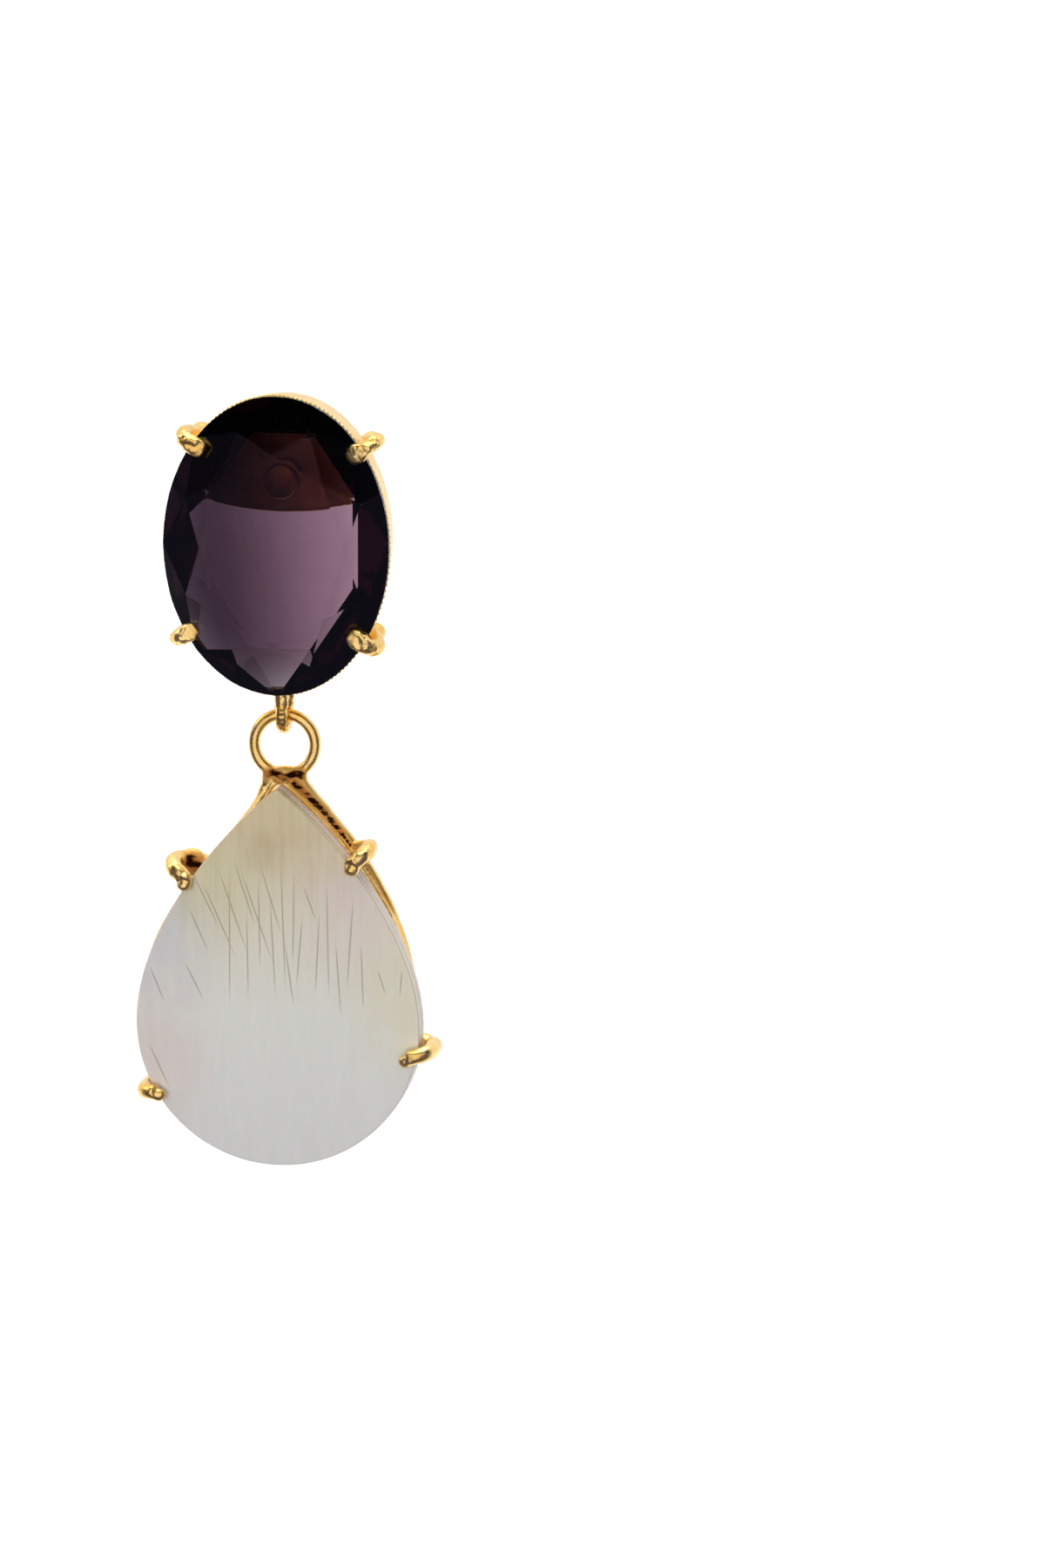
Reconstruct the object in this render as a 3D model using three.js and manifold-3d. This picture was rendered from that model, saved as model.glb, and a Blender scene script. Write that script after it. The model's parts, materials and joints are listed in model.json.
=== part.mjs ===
// A drop earring: an oval faceted amethyst in a gilt cup with four prongs, and under it, on a ring
// that hangs in a bail, a flat pear-shaped plate of mother-of-pearl in an open wire setting.
// Millimetres, +Z up, the front faces -Y. The origin is where the ear post leaves the flat back.

import * as THREE from "three";
import { mergeVertices } from "three/addons/utils/BufferGeometryUtils.js";
import Module from "manifold-3d";

const wasm = await Module();
wasm.setup();

// Oval stone
const ovalWidth = 15.1;
const ovalHeight = 20;
const ovalGirdle = 0.6;
const ovalCrown = 1.5;
const ovalPavilion = 2.5;
const ovalFolds = 8;
// places of the facet corners between the centre, 0, and the girdle, 1
const tableCorner = 0.64;
const starCorner = 0.84;
const culetCorner = 0.12;
// the back is steep near the girdle and nearly flat inside a break, whose corners lie this far in from
// the girdle, at this share of the pavilion's depth
const breakInset = 2.7;
const breakShare = 0.88;

// Cup behind the oval stone
const cupFloor = 0.7;
const cupWall = 0.75;
const cupInset = 0.08;
const cupRise = 0.05;
const culetRoom = 0.1;
// the floor ends above the stone's centre, in an edge that bows down with this radius
const floorAboveCentre = 1.9;
const floorBow = 20;

// Prongs of the cup
const ovalProngWire = 1.1;
const ovalProngStandOff = 0.72;
const ovalProngReach = 0.75;
const ovalProngRoot = 1.0;
// degrees round the oval, from +X over the top
const ovalProngAngles = [40, 137, 217, 322];

// Ear post, a headed pin through the cup's floor
const postWire = 0.9;
const postLength = 11;
const postHead = 2.4;
const postHeadThickness = 0.35;
const postAboveCentre = 4;
const postNotch = 0.12;
const postNotchFromTip = 2.2;

// Bail, a wire loop under the cup
const bailWire = 0.86;
const bailBend = 0.95;
const bailDrop = 3.1;
const bailDepth = 1.42;

// Ring on top of the drop
const ringWire = 0.82;
const ringHole = 1.63;

// Pear plate
const pearWidth = 19;
const pearHeight = 25.4;
const pearThickness = 1.9;
const pearEdge = 0.16;
const pearTipAngle = 52;
const pearTipPull = 5;
const pearFlankPull = 6;
const tipUnderRing = 0.05;

// Wire frame behind the plate: a round wire, and a thinner one in front of it that bears the plate.
// Its left flank goes behind the plate near the tip, and its right one lies outside it further down
const frameWire = 0.9;
const bearingWire = 0.6;
const bearingInset = 0.12;
const frameFoot = 0.55;
const frameFootRise = 0.1;
const frameLeft = { inset: 0.15, tipAngle: 30, tipPull: 6, flankPull: 7 };
const frameRight = { inset: 0.9, tipAngle: 48, tipPull: 1.5, flankPull: 9 };
const solderWidth = 3.3;
const solderHeight = 1.2;

// Prongs of the frame: below is the distance under the plate's tip as a share of the plate's height.
// Counted in thicknesses of their wire, standOff is how far the bow stands outside the plate's edge,
// reach how far the end lies over the front, and slip how far it lies down along the edge.
// Tilt is how many degrees the bow is turned up
const pearProngWire = 1.1;
const pearProngRoot = 0.5;
const pearProngs = [
  { side: -1, below: 0.22, standOff: 1.55, reach: 0.36, slip: 0.55, tilt: -12 },
  { side: 1, below: 0.193, standOff: 1.45, reach: 0.32, slip: 0.18, tilt: 0 },
  { side: -1, below: 0.811, standOff: 0.68, reach: 0.41, slip: 0, tilt: 26 },
  { side: 1, below: 0.689, standOff: 0.77, reach: 0.86, slip: 0, tilt: 22 },
];

// Clearances between pieces that touch on the real earring
const seatGap = 0.08;
const linkGap = 0.06;

// Steps of the curved surfaces
const outlineSteps = 56;
const wireSides = 10;
const frameSteps = 48;
const prongSteps = 10;
const bailSteps = 16;

// Places that follow from the sizes
const headFrontY = -(cupFloor + seatGap + postHeadThickness);
const girdleY = headFrontY - culetRoom - ovalPavilion - ovalGirdle / 2;
const ovalZ = -postAboveCentre;
const cupHalfWidth = ovalWidth / 2 - cupInset;
const cupHalfHeight = ovalHeight / 2 + cupRise;
const linkY = -bailDepth;
const bailBottomZ = ovalZ - ovalHeight / 2 - bailDrop + bailWire / 2;
const ringRadius = ringHole + ringWire / 2;
const ringZ = bailBottomZ + bailWire / 2 + linkGap - ringHole;
const pearTipZ = ringZ - ringHole - ringWire - tipUnderRing;
const bearingY = linkY - frameWire / 2 - bearingWire / 4;
const plateBackY = bearingY - bearingWire / 2 - seatGap;
const plateFrontY = plateBackY - pearThickness;

const gold = new THREE.MeshStandardMaterial({ color: 0xe0b865, roughness: 0.25, metalness: 1 });
const amethyst = new THREE.MeshStandardMaterial({ color: 0x4a2a5e, roughness: 0.05, metalness: 0 });
const motherOfPearl = new THREE.MeshStandardMaterial({ color: 0xc6c3b6, roughness: 0.35, metalness: 0 });

// Solids

function toSolid(geometry) {
  const bare = geometry.clone();
  bare.deleteAttribute("normal");
  bare.deleteAttribute("uv");
  const welded = mergeVertices(bare, 1e-5);
  const mesh = new wasm.Mesh({
    numProp: 3,
    vertProperties: new Float32Array(welded.attributes.position.array),
    triVerts: new Uint32Array(welded.index.array),
  });
  return new wasm.Manifold(mesh);
}

function toMesh(name, solid, material) {
  const { vertProperties, triVerts } = solid.getMesh();
  const geometry = new THREE.BufferGeometry();
  geometry.setAttribute("position", new THREE.BufferAttribute(vertProperties, 3));
  geometry.setIndex(new THREE.BufferAttribute(triVerts, 1));
  geometry.computeVertexNormals();
  const mesh = new THREE.Mesh(geometry, material);
  mesh.name = name;
  return mesh;
}

function join(solids) {
  return solids.reduce((whole, solid) => whole.add(solid));
}

// A flat outline in X and Z, as a solid between two depths
function slab(shape, frontY, backY) {
  const geometry = new THREE.ExtrudeGeometry(shape, {
    depth: backY - frontY,
    bevelEnabled: false,
    curveSegments: outlineSteps / 2,
  });
  geometry.rotateX(Math.PI / 2);
  geometry.translate(0, backY, 0);
  return toSolid(geometry);
}

function ellipse(halfWidth, halfHeight, centreZ) {
  const shape = new THREE.Shape();
  shape.absellipse(0, centreZ, halfWidth, halfHeight, 0, 2 * Math.PI, false, 0);
  return shape;
}

function disc(radius) {
  const points = [];
  for (let i = 0; i < wireSides; i += 1) {
    const turn = (2 * Math.PI * i) / wireSides;
    points.push(new THREE.Vector2(radius * Math.cos(turn), radius * Math.sin(turn)));
  }
  return new THREE.Shape(points);
}

function wireAlong(curve, diameter, steps) {
  const geometry = new THREE.ExtrudeGeometry(disc(diameter / 2), {
    extrudePath: curve,
    steps,
    bevelEnabled: false,
  });
  return toSolid(geometry);
}

function ball(radius, centre, scale = new THREE.Vector3(1, 1, 1)) {
  const geometry = new THREE.SphereGeometry(radius, wireSides, wireSides / 2);
  geometry.scale(scale.x, scale.y, scale.z);
  geometry.translate(centre.x, centre.y, centre.z);
  return toSolid(geometry);
}

// Oval stone

// A corner of the cut: turn counts folds round the stone, rise is the height in front of the girdle
function corner(turn, share, rise, grow, inset = 0) {
  const angle = (2 * Math.PI * turn) / ovalFolds;
  return new THREE.Vector3(
    share * Math.cos(angle) * (ovalWidth / 2 - inset + grow),
    girdleY - rise,
    ovalZ + share * Math.sin(angle) * (ovalHeight / 2 - inset + grow),
  );
}

// The stone as a cutter leaves it: an oval blank, then one flat cut for each facet
function ovalStone(grow = 0) {
  const rim = ovalGirdle / 2 + grow;
  const front = ovalGirdle / 2 + ovalCrown + grow;
  const back = -(ovalGirdle / 2 + ovalPavilion + grow);
  const outline = ellipse(ovalWidth / 2 + grow, ovalHeight / 2 + grow, ovalZ);
  const reach = 2 * (ovalWidth + ovalHeight);
  const middle = new THREE.Vector3(0, girdleY, ovalZ);
  let stone = slab(outline, girdleY - front, girdleY - back);

  function cut(a, b, c) {
    const normal = b.clone().sub(a).cross(c.clone().sub(a)).normalize();
    if (normal.dot(a.clone().sub(middle)) < 0) {
      normal.negate();
    }
    const waste = new THREE.BoxGeometry(reach, reach, reach);
    waste.translate(0, 0, reach / 2);
    waste.applyQuaternion(new THREE.Quaternion().setFromUnitVectors(new THREE.Vector3(0, 0, 1), normal));
    waste.translate(a.x, a.y, a.z);
    stone = stone.subtract(toSolid(waste));
  }

  const half = Math.cos(Math.PI / ovalFolds);
  const starRise = rim + (ovalCrown * (1 - starCorner * half)) / (1 - tableCorner);
  const breakRise = -rim - breakShare * ovalPavilion;
  for (let fold = 0; fold < ovalFolds; fold += 1) {
    const starBefore = corner(fold - 0.5, starCorner, starRise, grow);
    const starAfter = corner(fold + 0.5, starCorner, starRise, grow);
    const tableHere = corner(fold, tableCorner, front, grow);
    const tableNext = corner(fold + 1, tableCorner, front, grow);
    const crownRim = corner(fold, 1, rim, grow);
    const crownBefore = corner(fold - 0.5, 1, rim, grow);
    const crownAfter = corner(fold + 0.5, 1, rim, grow);
    cut(crownRim, starBefore, starAfter);
    cut(starAfter, tableHere, tableNext);
    cut(crownRim, crownAfter, starAfter);
    cut(crownRim, crownBefore, starBefore);
    const breakBefore = corner(fold - 0.5, 1, breakRise, grow, breakInset);
    const breakAfter = corner(fold + 0.5, 1, breakRise, grow, breakInset);
    const culet = corner(fold, culetCorner, back, grow);
    const backRim = corner(fold, 1, -rim, grow);
    const backBefore = corner(fold - 0.5, 1, -rim, grow);
    const backAfter = corner(fold + 0.5, 1, -rim, grow);
    cut(backRim, breakBefore, breakAfter);
    cut(backRim, backAfter, breakAfter);
    cut(backRim, backBefore, breakBefore);
    cut(culet, breakBefore, breakAfter);
  }
  return stone;
}

// Hook prongs

// A hook from its root, out round the stone's edge to its end, with each place given by how far
// out it lies, its depth, and how far it has slipped down along the edge
function hook(edge, outward, diameter, places) {
  const downhill = new THREE.Vector3(outward.z, 0, -outward.x).multiplyScalar(Math.sign(outward.x));
  const points = places.map(({ out, y, slip = 0 }) => {
    const point = edge.clone().addScaledVector(outward, out).addScaledVector(downhill, slip);
    return point.setY(y);
  });
  const curve = new THREE.CatmullRomCurve3(points, false, "centripetal");
  const end = points[points.length - 1];
  return wireAlong(curve, diameter, prongSteps).add(ball(diameter / 2, end));
}

function ovalProng(angle) {
  const turn = THREE.MathUtils.degToRad(angle);
  const halfWidth = ovalWidth / 2;
  const halfHeight = ovalHeight / 2;
  const edge = new THREE.Vector3(halfWidth * Math.cos(turn), 0, ovalZ + halfHeight * Math.sin(turn));
  const outward = new THREE.Vector3(halfHeight * Math.cos(turn), 0, halfWidth * Math.sin(turn)).normalize();
  const frontRim = girdleY - ovalGirdle / 2;
  const radius = ovalProngWire / 2;
  return hook(edge, outward, ovalProngWire, [
    { out: -cupInset - cupWall / 2, y: -ovalProngRoot },
    { out: ovalProngStandOff * 0.55, y: (girdleY - ovalProngRoot) / 2 },
    { out: ovalProngStandOff, y: girdleY },
    { out: ovalProngStandOff * 0.55, y: frontRim - radius },
    { out: -ovalProngReach, y: frontRim - radius - seatGap - ovalProngReach / 2 },
  ]);
}

// Cup with its bail

class BailCurve extends THREE.Curve {
  constructor(topZ) {
    super();
    this.leg = topZ - (bailBottomZ + bailBend);
  }

  getPoint(t, target = new THREE.Vector3()) {
    const bow = Math.PI * bailBend;
    const along = t * (2 * this.leg + bow);
    const bendZ = bailBottomZ + bailBend;
    if (along < this.leg) {
      return target.set(0, linkY + bailBend, bendZ + this.leg - along);
    }
    if (along > this.leg + bow) {
      return target.set(0, linkY - bailBend, bendZ + along - this.leg - bow);
    }
    const turn = (along - this.leg) / bailBend;
    return target.set(0, linkY + bailBend * Math.cos(turn), bendZ - bailBend * Math.sin(turn));
  }
}

function topSetting() {
  const outline = ellipse(cupHalfWidth, cupHalfHeight, ovalZ);
  const well = ellipse(cupHalfWidth - cupWall, cupHalfHeight - cupWall, ovalZ);
  const floorEdge = ellipse(floorBow, floorBow, ovalZ + floorAboveCentre + floorBow);
  const block = slab(outline, girdleY, 0);
  const room = slab(well, girdleY - ovalCrown, -cupFloor);
  const openBack = slab(well, -2 * cupFloor, cupFloor).subtract(slab(floorEdge, -3 * cupFloor, 2 * cupFloor));
  const bailTop = ovalZ - cupHalfHeight + cupWall / 2;
  const bail = wireAlong(new BailCurve(bailTop), bailWire, bailSteps);
  const postRoom = new THREE.CylinderGeometry(
    postWire / 2 + seatGap,
    postWire / 2 + seatGap,
    4 * cupFloor,
    wireSides,
  );
  return join([block.subtract(room).subtract(openBack), bail, ...ovalProngAngles.map(ovalProng)])
    .subtract(ovalStone(seatGap))
    .subtract(toSolid(postRoom));
}

// Ear post

function earPost() {
  const wire = postWire / 2;
  const notch = postLength - postNotchFromTip;
  const profile = [
    [0, headFrontY],
    [postHead / 2, headFrontY],
    [postHead / 2, headFrontY + postHeadThickness],
    [wire, headFrontY + postHeadThickness],
    [wire, notch - wire],
    [wire - postNotch, notch - wire / 2],
    [wire - postNotch, notch + wire / 2],
    [wire, notch + wire],
    [wire, postLength - wire],
    [wire * 0.7, postLength - wire * 0.3],
    [0, postLength],
  ].map(([radius, along]) => new THREE.Vector2(radius, along));
  return toSolid(new THREE.LatheGeometry(profile, wireSides));
}

// Pear outline: two flanks that bow out from the tip, and a round foot

const wideZ = pearTipZ - pearHeight + pearWidth / 2;

// A flank from the tip to where the pear is widest, on the right with side 1 and on the left with -1
function flank(side, { inset, tipAngle, tipPull, flankPull }, tipX, tipRise) {
  const lean = THREE.MathUtils.degToRad(tipAngle);
  const top = new THREE.Vector2(side * tipX, pearTipZ + tipRise);
  const fromTip = new THREE.Vector2(side * Math.sin(lean), -Math.cos(lean)).multiplyScalar(tipPull).add(top);
  const wide = new THREE.Vector2(side * (pearWidth / 2 - inset), wideZ);
  const toWide = new THREE.Vector2(wide.x, wideZ + flankPull);
  return [top, fromTip, toWide, wide];
}

class PearCurve extends THREE.CurvePath {
  constructor(left, right, tipX = 0, tipRise = 0) {
    super();
    const leftFlank = flank(-1, left, tipX, tipRise);
    const rightFlank = flank(1, right, tipX, tipRise);
    const centreX = (rightFlank[3].x + leftFlank[3].x) / 2;
    const radius = (rightFlank[3].x - leftFlank[3].x) / 2;
    this.flank = new THREE.CubicBezierCurve(...rightFlank);
    this.add(this.flank);
    this.add(new THREE.EllipseCurve(centreX, wideZ, radius, radius, 0, -Math.PI, true));
    this.add(new THREE.CubicBezierCurve(...leftFlank.reverse()));
  }
}

const plateFlank = { inset: 0, tipAngle: pearTipAngle, tipPull: pearTipPull, flankPull: pearFlankPull };
const plateOutline = new PearCurve(plateFlank, plateFlank);

// The point of the plate's outline at a depth under its tip, with the direction that faces outwards
function plateEdge(side, below) {
  const z = pearTipZ - below;
  if (z <= wideZ) {
    const radius = pearWidth / 2;
    const x = Math.sqrt(Math.max(radius * radius - (z - wideZ) * (z - wideZ), 0));
    return {
      edge: new THREE.Vector3(side * x, 0, z),
      outward: new THREE.Vector3(side * x, 0, z - wideZ).normalize(),
    };
  }
  let low = 0;
  let high = 1;
  for (let i = 0; i < 30; i += 1) {
    const middle = (low + high) / 2;
    if (plateOutline.flank.getPoint(middle).y > z) {
      low = middle;
    } else {
      high = middle;
    }
  }
  const point = plateOutline.flank.getPoint(low);
  const along = plateOutline.flank.getTangent(low);
  return {
    edge: new THREE.Vector3(side * point.x, 0, point.y),
    outward: new THREE.Vector3(-side * along.y, 0, along.x).normalize(),
  };
}

function pearPlate() {
  const points = plateOutline.getPoints(outlineSteps / 4);
  points.pop();
  const geometry = new THREE.ExtrudeGeometry(new THREE.Shape(points), {
    depth: pearThickness - 2 * pearEdge,
    bevelThickness: pearEdge,
    bevelSize: pearEdge,
    bevelOffset: -pearEdge,
    bevelSegments: 1,
    curveSegments: 1,
  });
  geometry.rotateX(Math.PI / 2);
  geometry.translate(0, plateBackY - pearEdge, 0);
  return toSolid(geometry);
}

// Drop setting: ring, frame wires, solder and prongs in one

class RaisedCurve extends THREE.Curve {
  constructor(flat, y) {
    super();
    this.flat = flat;
    this.y = y;
  }

  getPoint(t, target = new THREE.Vector3()) {
    const point = this.flat.getPoint(t);
    return target.set(point.x, this.y, point.y);
  }
}

function frameLoop(moreInset, y, diameter) {
  const left = { ...frameLeft, inset: frameLeft.inset + moreInset };
  const right = { ...frameRight, inset: frameRight.inset + moreInset };
  const outline = new PearCurve(left, right, frameFoot, frameFootRise);
  return wireAlong(new RaisedCurve(outline, y), diameter, frameSteps);
}

function pearProng({ side, below, standOff, reach, slip, tilt }) {
  const { edge, outward } = plateEdge(side, below * pearHeight);
  const lean = THREE.MathUtils.degToRad(-side * tilt);
  outward.applyAxisAngle(new THREE.Vector3(0, 1, 0), lean);
  const radius = pearProngWire / 2;
  const bow = standOff * pearProngWire;
  const slid = slip * pearProngWire;
  return hook(edge, outward, pearProngWire, [
    { out: -pearProngRoot, y: linkY },
    { out: bow * 0.6, y: linkY - seatGap },
    { out: bow, y: plateBackY - pearThickness / 2 },
    { out: bow * 0.6, y: plateFrontY - radius * 0.7, slip: slid / 2 },
    { out: -reach * pearProngWire, y: plateFrontY - radius - seatGap, slip: slid },
  ]);
}

function dropSetting() {
  const ring = new THREE.TorusGeometry(ringRadius, ringWire / 2, wireSides, outlineSteps / 2);
  ring.rotateX(Math.PI / 2);
  ring.translate(0, linkY, ringZ);
  const solderAt = new THREE.Vector3(0, linkY, ringZ - ringRadius - ringWire / 4);
  const solder = ball(0.5, solderAt, new THREE.Vector3(solderWidth, ringWire, solderHeight));
  return join([
    toSolid(ring),
    solder,
    frameLoop(0, linkY, frameWire),
    frameLoop(bearingInset, bearingY, bearingWire),
    ...pearProngs.map(pearProng),
  ]);
}

const earring = new THREE.Group();
earring.add(toMesh("top_setting", topSetting(), gold));
earring.add(toMesh("amethyst", ovalStone(), amethyst));
earring.add(toMesh("ear_post", earPost(), gold));
earring.add(toMesh("drop_setting", dropSetting(), gold));
earring.add(toMesh("pearl_plate", pearPlate(), motherOfPearl));

export default earring;
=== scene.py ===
"""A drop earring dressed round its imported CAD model: an oval faceted amethyst held by four prongs on a gilt
rim, and under it a pear-shaped plate of mother-of-pearl that swings from a ring in a bail.

Lengths are millimetres. Pieces are modelled in millimetres and brought to metres when they are finished.
The earring hangs along Z, its front faces -Y, and the origin is where the ear post leaves the flat back."""

import json
import math

import bpy
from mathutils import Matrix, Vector
from mathutils.kdtree import KDTree

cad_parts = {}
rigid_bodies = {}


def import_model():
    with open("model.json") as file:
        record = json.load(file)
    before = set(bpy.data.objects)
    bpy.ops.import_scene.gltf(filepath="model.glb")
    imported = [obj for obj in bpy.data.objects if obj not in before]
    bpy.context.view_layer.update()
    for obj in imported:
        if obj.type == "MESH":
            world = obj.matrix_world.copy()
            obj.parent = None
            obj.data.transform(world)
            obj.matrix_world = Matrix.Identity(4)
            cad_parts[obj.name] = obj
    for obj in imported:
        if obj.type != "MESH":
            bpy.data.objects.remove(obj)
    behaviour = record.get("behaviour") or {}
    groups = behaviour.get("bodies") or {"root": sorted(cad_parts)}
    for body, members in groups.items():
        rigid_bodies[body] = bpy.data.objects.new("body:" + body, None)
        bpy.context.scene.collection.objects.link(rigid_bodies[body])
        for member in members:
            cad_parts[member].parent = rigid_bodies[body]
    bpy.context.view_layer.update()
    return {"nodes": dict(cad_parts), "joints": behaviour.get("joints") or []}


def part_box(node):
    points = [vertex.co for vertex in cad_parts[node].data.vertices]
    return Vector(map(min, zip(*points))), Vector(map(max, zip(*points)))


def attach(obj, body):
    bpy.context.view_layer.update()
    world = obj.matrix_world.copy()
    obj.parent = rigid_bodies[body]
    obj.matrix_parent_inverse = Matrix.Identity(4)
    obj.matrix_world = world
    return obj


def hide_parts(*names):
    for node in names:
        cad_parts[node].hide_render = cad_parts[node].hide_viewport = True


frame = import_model()

MM = 0.001


def box_mm(node):
    low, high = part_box(node)
    return low / MM, high / MM


# Oval stone, read from the frame
stone_low, stone_high = box_mm("amethyst")
oval_half_width = (stone_high.x - stone_low.x) / 2
oval_half_height = (stone_high.z - stone_low.z) / 2
oval_z = (stone_high.z + stone_low.z) / 2
crown_rise = 1.5
girdle_thickness = 0.6
girdle_y = stone_low.y + crown_rise + girdle_thickness / 2

# Gilt rim behind the oval stone, with its floor above the stone's centre
rim_inset = 0.1
rim_wall = 0.72
rim_taper = 0.42
rim_front_y = girdle_y
seat_gap = 0.07
floor_thickness = 0.66
floor_lap = 0.15
floor_above_centre = 1.9
floor_bow = 20
milgrain_bead = 0.3
milgrain_pitch = 0.36
milgrain_set_back = 0.2

# Prongs of the oval stone: turn is degrees round the oval, stand_off how far the bow stands out, reach how
# far the end lies over the stone, end the wire's thickness there as a share of the rest, and lean how
# many degrees the nipped end leans in from the front
oval_prong_wire = 1.06
oval_prongs = [
    {"turn": 41, "stand_off": 1.15, "reach": 0.15, "end": 1.25, "lean": 8},
    {"turn": 137, "stand_off": 0.78, "reach": 0.45, "end": 1.2, "lean": 8},
    {"turn": 217, "stand_off": 0.68, "reach": 0.45, "end": 1.2, "lean": 14},
    {"turn": 322, "stand_off": 0.8, "reach": 0.5, "end": 1.25, "lean": 8},
]

# Bail under the rim, and the drop's ring in it
hinge = Vector(frame["joints"][0]["pos_m"]) / MM
bail_wire = 0.84
bail_top_wire = 1.04
bail_bend = 0.95
ring_wire = 0.8
ring_hole = 1.64
link_gap = 0.06
ring_z = hinge.z + bail_wire / 2 + link_gap - ring_hole
neck_z = ring_z - ring_hole - ring_wire

# Pear plate, read from the frame
plate_low, plate_high = box_mm("pearl_plate")
pear_half_width = (plate_high.x - plate_low.x) / 2
pear_height = plate_high.z - plate_low.z
pear_tip_z = plate_high.z
pear_wide_z = plate_low.z + pear_half_width
plate_front_y = plate_low.y
plate_back_y = plate_high.y
pear_edge = 0.09
shell_joint_share = 0.46
pear_flank = {"inset": 0, "tip_angle": 52, "tip_pull": 5, "flank_pull": 6}

# Wire frame behind the plate: its left flank goes behind the plate near the tip, and its right one
# lies outside it further down. A thinner wire in front of it bears the plate
frame_wire = 0.88
bearing_wire = 0.62
bearing_inset = 0.4
bearing_right = {"inset": 0.5, "tip_angle": 52, "tip_pull": 5, "flank_pull": 6}
bearing_y = hinge.y - 0.56
frame_foot = 0.55
frame_foot_rise = 0.1
frame_left = {"inset": 0.15, "tip_angle": 30, "tip_pull": 6, "flank_pull": 7}
frame_right = {"inset": 0.9, "tip_angle": 48, "tip_pull": 1.5, "flank_pull": 9}

# Prongs of the plate: below is the distance under the tip, stand_off how far the bow stands outside
# the edge, reach how far the middle of the nipped end lies over the front, or short of its edge where it
# is negative, slip how far it lies down along the edge, tilt how many degrees the bow is turned up, lean
# how many degrees the nipped end leans in, and web how large the drop of solder in the bow is
pear_prong_wire = 1.06
pear_prong_root = 0.5
pear_prongs = [
    {
        "side": -1, "below": 5.9, "stand_off": 1.65, "reach": -0.4,
        "slip": 0.6, "tilt": -12, "lean": 4, "web": 1.9,
    },
    {
        "side": 1, "below": 4.9, "stand_off": 1.5, "reach": -0.25,
        "slip": 0.1, "tilt": 0, "lean": 2, "web": 1.6,
    },
    {
        "side": -1, "below": 20.6, "stand_off": 0.75, "reach": 0.2,
        "slip": 0, "tilt": 26, "lean": 6, "web": 1.1,
    },
    {
        "side": 1, "below": 17.5, "stand_off": 0.85, "reach": 0.6,
        "slip": 0, "tilt": 22, "lean": 6, "web": 1.1,
    },
]

# Solder in the neck between ring and frame. Its legs run down the frame's flanks: shoulder is how far out
# they turn down, down how far under the neck they end, and end their thickness there as a share
solder_leg_wire = 1.0
solder_leg_spread = 2.75
neck_reach = 1.3
solder_legs = [
    {"side": -1, "shoulder": 1.25, "down": 2.9, "end": 0.35},
    {"side": 1, "shoulder": 1.55, "down": 2.0, "end": 0.85},
]

# Grain of the remeshed metal, and the bead of solder at the root of each prong
rim_grain = 0.095
drop_grain = 0.08
prong_foot = 1.5

# Ear post
post_wire = 0.88
post_head = 2.3
post_head_thickness = 0.32
post_notch = 0.12
post_notch_from_tip = 2.2
post_low, post_high = box_mm("ear_post")


# Modelling helpers

def deselect():
    if bpy.context.mode != "OBJECT":
        bpy.ops.object.mode_set(mode="OBJECT")
    bpy.ops.object.select_all(action="DESELECT")


def take(*pieces):
    """Selects the pieces, the first of them active."""
    deselect()
    for piece in pieces:
        piece.select_set(True)
    bpy.context.view_layer.objects.active = pieces[0]


def modify(piece, kind, **settings):
    """Adds a modifier and applies it at once."""
    take(piece)
    bpy.ops.object.modifier_add(type=kind)
    modifier = piece.modifiers[-1]
    for name, value in settings.items():
        setattr(modifier, name, value)
    bpy.ops.object.modifier_apply(modifier=modifier.name)


def weld(*pieces):
    """Joins pieces into the first one."""
    take(*pieces)
    if len(pieces) > 1:
        bpy.ops.object.join()
    return bpy.context.object


def bend_wire(points, thickness, widths=None):
    """A round wire through points, with an optional share of its thickness at each."""
    deselect()
    bpy.ops.curve.primitive_bezier_curve_add()
    wire = bpy.context.object
    spline = wire.data.splines[0]
    spline.bezier_points.add(len(points) - len(spline.bezier_points))
    for i, place in enumerate(spline.bezier_points):
        place.co = points[i]
        place.radius = widths[i] if widths else 1.0
        place.handle_left_type = "AUTO"
        place.handle_right_type = "AUTO"
    wire.data.resolution_u = 16
    return draw_wire(wire, thickness)


def draw_wire(wire, thickness):
    """Gives a curve its round section and turns it into a mesh."""
    wire.data.bevel_depth = thickness / 2
    wire.data.bevel_resolution = 6
    wire.data.use_fill_caps = True
    take(wire)
    bpy.ops.object.convert(target="MESH")
    return bpy.context.object


def bead(place, size, squash=(1, 1, 1)):
    """A round lump of metal, such as a solder drop."""
    deselect()
    bpy.ops.mesh.primitive_uv_sphere_add(segments=24, ring_count=14, radius=size / 2, location=place)
    lump = bpy.context.object
    lump.scale = squash
    bpy.ops.object.transform_apply(location=True, rotation=True, scale=True)
    return lump


def flow_together(piece, grain, rounds):
    """Melts overlapping metal into one skin with soft solder joints."""
    modify(piece, "REMESH", mode="VOXEL", voxel_size=grain, adaptivity=0)
    modify(piece, "SMOOTH", factor=0.5, iterations=rounds)


def roughen(piece, name, size, depth, where=None):
    """Pushes the surface in and out by a noise of that size, where a function of the place says so."""
    texture = bpy.data.textures.new(name, "CLOUDS")
    texture.noise_scale = size
    texture.noise_depth = 2
    settings = {"texture": texture, "strength": depth, "mid_level": 0.5, "texture_coords": "LOCAL"}
    if where:
        group = piece.vertex_groups.new(name=name)
        for vertex in piece.data.vertices:
            share = where(vertex.co)
            if share > 0:
                group.add([vertex.index], share, "REPLACE")
        settings["vertex_group"] = name
    modify(piece, "DISPLACE", **settings)


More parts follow.
